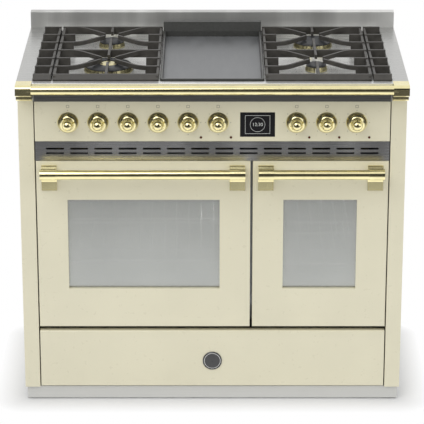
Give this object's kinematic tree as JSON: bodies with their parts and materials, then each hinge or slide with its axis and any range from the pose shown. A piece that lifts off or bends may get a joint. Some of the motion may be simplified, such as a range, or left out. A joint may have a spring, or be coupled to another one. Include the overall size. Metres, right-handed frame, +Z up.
{
  "type": "range cooker",
  "caption": "Freestanding cream range cooker with a large and a small oven side by side, gas hob round a griddle, brass knobs, handles and front rail, and a storage drawer",
  "frame": {"origin": "on the floor, midway between the sides, and midway between the front of the rail and the back panel", "axes": "+X to the right seen from the front, +Y towards the back, +Z up; metres"},
  "size_m": [1, 0.6, 0.94],
  "materials": {
    "cream_enamel": "gloss cream vitreous enamel",
    "black_enamel": "gloss black enamel",
    "oven_enamel": "speckled dark enamel",
    "galvanised": "galvanised sheet",
    "stainless": "brushed stainless steel",
    "wire": "bright plated wire",
    "brass": "polished brass",
    "iron": "matt black enamelled iron",
    "burner_alloy": "satin casting",
    "mirror_glass": "grey reflective glass",
    "display_glass": "black display front",
    "seal": "matt silicone",
    "wool": "mineral wool",
    "plastic": "moulded",
    "griddle_iron": "blue-grey coated plate"
  },
  "bodies": {
    "cabinet": {"side_panels": "cream_enamel", "back_panel": "galvanised", "base_pan": "galvanised", "plinth": "stainless", "levelling_feet": "plastic", "oven_chassis": "galvanised", "oven_liner_left": "oven_enamel", "oven_liner_right": "oven_enamel", "oven_insulation": "wool", "door_gaskets": "seal", "oven_racks": "wire", "rack_runners": "wire", "heating_elements": "stainless", "fan_cover": "oven_enamel", "fan_motor": "galvanised", "door_hinges": "galvanised", "drawer_rails": "galvanised", "control_panel": "cream_enamel", "display": "display_glass", "knob_bezels": "brass", "vent_strip": "stainless", "hob_deck": "stainless", "backguard": "stainless", "front_rail": "brass", "griddle": "griddle_iron", "burner_bases": "burner_alloy", "burner_crowns": "brass", "burner_caps": "black_enamel", "gas_manifold": "brass", "control_switches": "plastic", "supply_box": "plastic"},
    "fan": {"fan_wheel": "stainless"},
    "left_door": {"door_left_panel": "cream_enamel", "door_left_glass": "mirror_glass", "door_left_inner_frame": "oven_enamel", "door_left_handle": "brass"},
    "right_door": {"door_right_panel": "cream_enamel", "door_right_glass": "mirror_glass", "door_right_inner_frame": "oven_enamel", "door_right_handle": "brass"},
    "drawer": {"drawer_front": "cream_enamel", "drawer_box": "galvanised", "drawer_badge": "black_enamel"},
    "knob_1": {"knob_1": "brass"},
    "knob_2": {"knob_2": "brass"},
    "knob_3": {"knob_3": "brass"},
    "knob_4": {"knob_4": "brass"},
    "knob_5": {"knob_5": "brass"},
    "knob_6": {"knob_6": "brass"},
    "knob_7": {"knob_7": "brass"},
    "knob_8": {"knob_8": "brass"},
    "knob_9": {"knob_9": "brass"},
    "tap_pusher_1": {"tap_pusher_1": "brass"},
    "tap_pusher_2": {"tap_pusher_2": "brass"},
    "tap_pusher_3": {"tap_pusher_3": "brass"},
    "tap_pusher_4": {"tap_pusher_4": "brass"},
    "grate_left": {"grate_left": "iron"},
    "side_grate_left": {"side_grate_left": "iron"},
    "grate_right": {"grate_right": "iron"},
    "side_grate_right": {"side_grate_right": "iron"}
  },
  "joints": [
    {"name": "left_door_hinge", "type": "hinge", "parent": "cabinet", "child": "left_door", "pos_m": [-0.179, -0.2, 0.242], "axis": [1, 0, 0], "range_deg": [0, 90], "stiffness_Nm_per_rad": 9, "springref_deg": -25.78},
    {"name": "right_door_hinge", "type": "hinge", "parent": "cabinet", "child": "right_door", "pos_m": [0.281, -0.2, 0.242], "axis": [1, 0, 0], "range_deg": [0, 90], "stiffness_Nm_per_rad": 6.5, "springref_deg": -25.78},
    {"name": "drawer_slide", "type": "slide", "parent": "cabinet", "child": "drawer", "axis": [0, -1, 0], "range_m": [0, 0.3]},
    {"name": "fan_spin", "type": "hinge", "parent": "cabinet", "child": "fan", "pos_m": [-0.179, 0.2, 0.44775], "axis": [0, 1, 0], "continuous": true},
    {"name": "knob_1_press", "type": "slide", "parent": "cabinet", "child": "tap_pusher_1", "axis": [0, 1, 0], "range_m": [0, 0.003], "stiffness_N_per_m": 400, "springref_m": -0.01},
    {"name": "knob_1_turn", "type": "hinge", "parent": "tap_pusher_1", "child": "knob_1", "pos_m": [-0.3715, -0.25, 0.778], "axis": [0, 1, 0], "range_deg": [-215, 0]},
    {"name": "knob_2_press", "type": "slide", "parent": "cabinet", "child": "tap_pusher_2", "axis": [0, 1, 0], "range_m": [0, 0.003], "stiffness_N_per_m": 400, "springref_m": -0.01},
    {"name": "knob_2_turn", "type": "hinge", "parent": "tap_pusher_2", "child": "knob_2", "pos_m": [-0.2942, -0.25, 0.778], "axis": [0, 1, 0], "range_deg": [-215, 0]},
    {"name": "knob_3_press", "type": "slide", "parent": "cabinet", "child": "tap_pusher_3", "axis": [0, 1, 0], "range_m": [0, 0.003], "stiffness_N_per_m": 400, "springref_m": -0.01},
    {"name": "knob_3_turn", "type": "hinge", "parent": "tap_pusher_3", "child": "knob_3", "pos_m": [-0.2169, -0.25, 0.778], "axis": [0, 1, 0], "range_deg": [-215, 0]},
    {"name": "knob_4_press", "type": "slide", "parent": "cabinet", "child": "tap_pusher_4", "axis": [0, 1, 0], "range_m": [0, 0.003], "stiffness_N_per_m": 400, "springref_m": -0.01},
    {"name": "knob_4_turn", "type": "hinge", "parent": "tap_pusher_4", "child": "knob_4", "pos_m": [-0.1396, -0.25, 0.778], "axis": [0, 1, 0], "range_deg": [-215, 0]},
    {"name": "knob_5_turn", "type": "hinge", "parent": "cabinet", "child": "knob_5", "pos_m": [-0.0623, -0.25, 0.778], "axis": [0, 1, 0], "range_deg": [0, 270]},
    {"name": "knob_6_turn", "type": "hinge", "parent": "cabinet", "child": "knob_6", "pos_m": [0.015, -0.25, 0.778], "axis": [0, 1, 0], "range_deg": [0, 270]},
    {"name": "knob_7_turn", "type": "hinge", "parent": "cabinet", "child": "knob_7", "pos_m": [0.2169, -0.25, 0.778], "axis": [0, 1, 0], "range_deg": [0, 315]},
    {"name": "knob_8_turn", "type": "hinge", "parent": "cabinet", "child": "knob_8", "pos_m": [0.2942, -0.25, 0.778], "axis": [0, 1, 0], "range_deg": [0, 270]},
    {"name": "knob_9_turn", "type": "hinge", "parent": "cabinet", "child": "knob_9", "pos_m": [0.3715, -0.25, 0.778], "axis": [0, 1, 0], "range_deg": [0, 315]},
    {"name": "grate_left_lift", "type": "slide", "parent": "cabinet", "child": "grate_left", "axis": [0, 0, 1], "range_m": [0, 0.15]},
    {"name": "grate_right_lift", "type": "slide", "parent": "cabinet", "child": "grate_right", "axis": [0, 0, 1], "range_m": [0, 0.15]},
    {"name": "side_grate_left_lift", "type": "slide", "parent": "cabinet", "child": "side_grate_left", "axis": [0, 0, 1], "range_m": [0, 0.15]},
    {"name": "side_grate_right_lift", "type": "slide", "parent": "cabinet", "child": "side_grate_right", "axis": [0, 0, 1], "range_m": [0, 0.15]}
  ]
}
